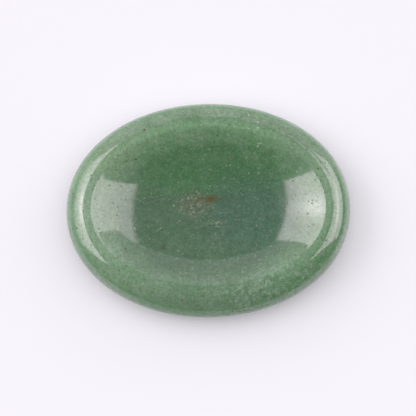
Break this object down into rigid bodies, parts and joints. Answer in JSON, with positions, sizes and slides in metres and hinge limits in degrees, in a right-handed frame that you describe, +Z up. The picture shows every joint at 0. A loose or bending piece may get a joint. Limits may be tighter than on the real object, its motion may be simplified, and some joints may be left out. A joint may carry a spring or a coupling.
{
  "type": "worry stone",
  "caption": "Oval polished green worry stone with a shallow thumb dish on top, a rounded rim and a gently domed back that ends in a small flat spot.",
  "frame": {"origin": "middle of the small flat spot that the stone rests on, centred under the oval", "axes": "+X along the stone's length, +Y across its width, +Z up out of the thumb dish"},
  "size_m": [0.04, 0.0304, 0.0072],
  "materials": {
    "green_stone": "polished"
  },
  "bodies": {
    "root": {"worry_stone": "green_stone"}
  },
  "joints": []
}
